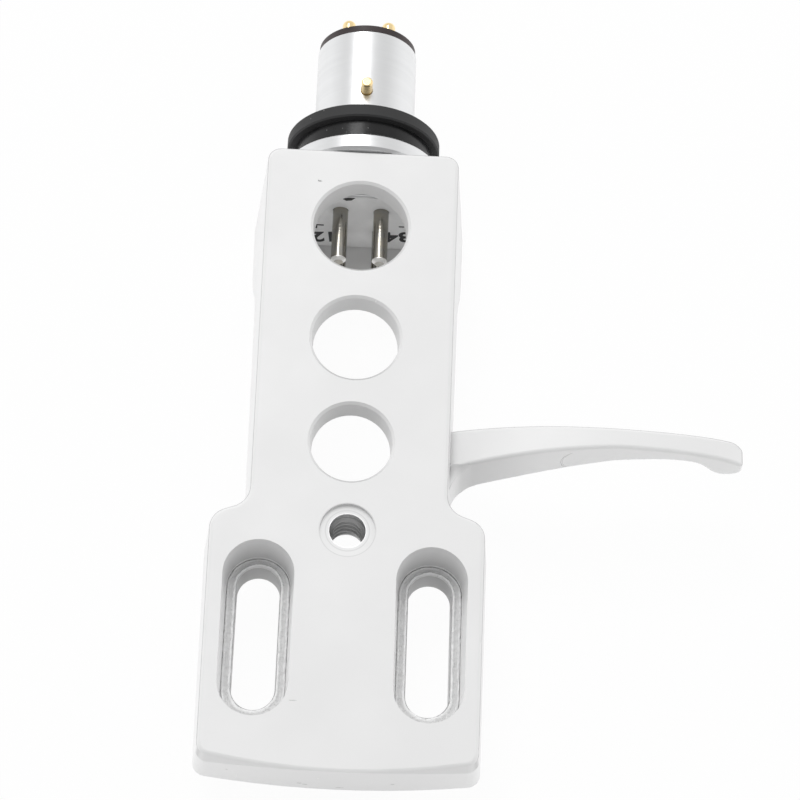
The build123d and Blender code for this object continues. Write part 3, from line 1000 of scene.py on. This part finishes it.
class HEADSHELL_OT_mould_gasket(bpy.types.Operator):
    """Finishes the rubber gasket and the insulator"""

    bl_idname = "headshell.mould_gasket"
    bl_label = "Mould Gasket and Insulator"

    def execute(self, context):
        look = context.scene.headshell_connector
        cover("gasket", dark_moulding(
            "gasket_rubber", tuple(look.rubber), roughness=0.2,
            dust_spacing=0.5, dust_share=0.6, dust_strength=0.5, film=0.09,
        ))
        cover("insulator", dark_moulding(
            "insulator_plastic", tuple(look.plastic), roughness=0.35,
            dust_spacing=0.9, dust_share=0.12, dust_strength=0.3,
        ))
        return {"FINISHED"}


class HEADSHELL_OT_cut_thread(bpy.types.Operator):
    """Cuts the thread of the balance weight's hole"""

    bl_idname = "headshell.cut_thread"
    bl_label = "Cut Thread"

    def execute(self, context):
        metal = turned_metal("bare_thread", grey(0.56), roughness=0.3, spacing=0.1, depth=0.003)
        new_piece("weight_thread", thread_ridge(), metal)
        return {"FINISHED"}


class HEADSHELL_OT_print_label(bpy.types.Operator):
    """Prints the label behind the contact pins"""

    bl_idname = "headshell.print_label"
    bl_label = "Print Label"

    def execute(self, context):
        look = context.scene.headshell_label
        cover("terminal_label", label_sheet(look))
        new_piece("label_print", label_marks(), printing_ink(look))
        return {"FINISHED"}


# The stage, in metres: the table, how far the object shades it, the lamp and what the camera looks at
TABLE_HALF = 1.2
TABLE_Y = -24.0 * MM
TABLE_GAP = 0.01 * MM
SHADED_REACH = (12.0, 30.0, 1.0)
KEY_PLACE = (-0.08, 0.2, 0.44)
KEY_TARGET = (0.0, -0.01, 0.0)
KEY_SIZE = (0.15, 0.3)
CAMERA_TARGET = Vector((3.643, -22.82, 0.0)) * MM
SENSOR_WIDTH = 36.0
WHITE = (1, 1, 1, 1)


def seen_mask(tree):
    """1 for what the camera sees, also through something clear."""
    rays = add(tree, "ShaderNodeLightPath").outputs
    return maths(tree, "MAXIMUM", rays["Is Camera Ray"], rays["Is Transmission Ray"])


def table_surface(look):
    """Pale table that the camera sees as white, with the object's soft shadow on it. Round the
    object it gives light, and under the object it is matt."""
    material = bpy.data.materials.new("table_surface")
    tree, output = new_tree(material)
    ripple = use_group(tree, ripple_group(), {"Ripple Size": 0.6, "Patch Size": 40.0})
    patches = together(tree, ripple["Patches"], 0.1)
    colour = blend_colour(tree, patches, tuple(look.table_colour), grey(0.9))
    matt = add(tree, "ShaderNodeBsdfDiffuse", {"Color": colour})
    white = add(tree, "ShaderNodeEmission", {"Color": WHITE, "Strength": 1.0})
    lit = add(tree, "ShaderNodeEmission", {"Color": WHITE, "Strength": look.glow})
    shaded = add(tree, "ShaderNodeMixShader", {0: look.shadow, 1: white.outputs[0], 2: matt.outputs[0]})
    place = millimetres(tree)
    away = vectors(tree, "DIVIDE", place, SHADED_REACH)
    away = vectors(tree, "LENGTH", vectors(tree, "MULTIPLY", away, (1.0, 1.0, 0.0)))
    open_table = band(tree, away, 0.95, 1.5)
    # Under the neck the table also gives some light, which lights the label and the socket from below
    under_neck = band(tree, split(tree, place)[1], -12.0, -6.0, 0.0, 0.45)
    open_table = maths(tree, "MAXIMUM", open_table, under_neck)
    around = add(tree, "ShaderNodeMixShader", {0: open_table, 1: matt.outputs[0], 2: lit.outputs[0]})
    keys = {0: seen_mask(tree), 1: around.outputs[0], 2: shaded.outputs[0]}
    mixed = add(tree, "ShaderNodeMixShader", keys)
    tree.links.new(mixed.outputs[0], output.inputs["Surface"])
    return material


def studio_world(look):
    """White background, and light that grows from front to rear and is strongest at both sides."""
    world = bpy.data.worlds.new("studio")
    bpy.context.scene.world = world
    world.use_nodes = True
    tree = world.node_tree
    tree.nodes.clear()
    direction = add(tree, "ShaderNodeTexCoord").outputs["Generated"]
    parts = split(tree, direction)
    above = band(tree, parts[1], -0.35, 0.35, look.front_level, look.rear_level)
    sideways = band(tree, maths(tree, "ABSOLUTE", parts[0]), 0.65, 0.95)
    above = blend_value(tree, sideways, above, look.side_level)
    below = band(tree, parts[2], 0.0, -0.1)
    level = blend_value(tree, below, above, look.glow)
    light = add(tree, "ShaderNodeBackground", {"Color": WHITE, "Strength": level})
    white = add(tree, "ShaderNodeBackground", {"Color": WHITE, "Strength": 1.0})
    keys = {0: seen_mask(tree), 1: light.outputs[0], 2: white.outputs[0]}
    mixed = add(tree, "ShaderNodeMixShader", keys)
    output = tree.nodes.new("ShaderNodeOutputWorld")
    tree.links.new(mixed.outputs[0], output.inputs["Surface"])


def aim(obj, place, target):
    """Puts an object at a place with its front towards a target."""
    obj.location = place
    obj.rotation_euler = (Vector(target) - Vector(place)).to_track_quat("-Z", "Y").to_euler()


def key_light(power):
    """Large soft lamp, behind and above."""
    lamp = bpy.data.lights.new("key", "AREA")
    lamp.shape = "RECTANGLE"
    lamp.size, lamp.size_y = KEY_SIZE
    lamp.energy = power
    holder = bpy.data.objects.new("key", lamp)
    bpy.context.scene.collection.objects.link(holder)
    aim(holder, KEY_PLACE, KEY_TARGET)


def set_camera(look):
    """Camera at the photograph's viewing angle."""
    lens = bpy.data.cameras.new("photo_camera")
    lens.sensor_fit = "HORIZONTAL"
    lens.sensor_width = SENSOR_WIDTH
    lens.lens = look.focal_length
    lens.clip_start = 0.01
    lens.clip_end = 5.0
    camera = bpy.data.objects.new("photo_camera", lens)
    bpy.context.scene.collection.objects.link(camera)
    forward = Vector((
        math.sin(look.azimuth) * math.cos(look.elevation),
        math.cos(look.azimuth) * math.cos(look.elevation),
        -math.sin(look.elevation),
    ))
    right = Vector((math.cos(look.azimuth), -math.sin(look.azimuth), 0.0))
    up = right.cross(forward)
    rolled_right = math.cos(look.roll) * right + math.sin(look.roll) * up
    rolled_up = math.cos(look.roll) * up - math.sin(look.roll) * right
    turn = Matrix((rolled_right, rolled_up, -forward)).transposed().to_4x4()
    camera.matrix_world = Matrix.Translation(CAMERA_TARGET - look.distance * forward) @ turn
    bpy.context.scene.camera = camera


class HEADSHELL_OT_set_stage(bpy.types.Operator):
    """Sets the table, the light and the camera"""

    bl_idname = "headshell.set_stage"
    bl_label = "Set Stage"

    def execute(self, context):
        look = context.scene.headshell_stage
        mesh = bmesh.new()
        bmesh.ops.create_grid(mesh, x_segments=2, y_segments=2, size=TABLE_HALF)
        data = bpy.data.meshes.new("table")
        mesh.to_mesh(data)
        mesh.free()
        data.materials.append(table_surface(look))
        table = bpy.data.objects.new("table", data)
        context.scene.collection.objects.link(table)
        table.location = (0.0, TABLE_Y, CAD_BOX[0][2] - TABLE_GAP)
        studio_world(look)
        key_light(look.key_power)
        set_camera(look)
        context.scene.view_settings.view_transform = "Standard"
        return {"FINISHED"}


STEPS = (
    HEADSHELL_OT_paint_casting,
    HEADSHELL_OT_plate_connector,
    HEADSHELL_OT_mould_gasket,
    HEADSHELL_OT_cut_thread,
    HEADSHELL_OT_print_label,
    HEADSHELL_OT_set_stage,
)
SETTINGS = {
    "headshell_paint": CastingPaint,
    "headshell_connector": ConnectorFinish,
    "headshell_label": LabelPrint,
    "headshell_thread": ThreadSizes,
    "headshell_stage": LightTable,
}


class HEADSHELL_PT_panel(bpy.types.Panel):
    """The headshell's steps and settings"""

    bl_idname = "HEADSHELL_PT_panel"
    bl_label = "Headshell"
    bl_space_type = "VIEW_3D"
    bl_region_type = "UI"
    bl_category = "Headshell"

    def draw(self, context):
        for step in STEPS:
            self.layout.operator(step.bl_idname)
        for name, group in SETTINGS.items():
            settings = getattr(context.scene, name)
            box = self.layout.box()
            for key in group.__annotations__:
                box.prop(settings, key)


def register():
    for group in SETTINGS.values():
        bpy.utils.register_class(group)
    for step in STEPS:
        bpy.utils.register_class(step)
    bpy.utils.register_class(HEADSHELL_PT_panel)
    for name, group in SETTINGS.items():
        setattr(bpy.types.Scene, name, bpy.props.PointerProperty(type=group))


def unregister():
    for name in SETTINGS:
        delattr(bpy.types.Scene, name)
    bpy.utils.unregister_class(HEADSHELL_PT_panel)
    for step in reversed(STEPS):
        bpy.utils.unregister_class(step)
    for group in reversed(list(SETTINGS.values())):
        bpy.utils.unregister_class(group)


def main():
    register()
    for step in STEPS:
        family, action = step.bl_idname.split(".")
        getattr(getattr(bpy.ops, family), action)()


if __name__ == "__main__":
    main()
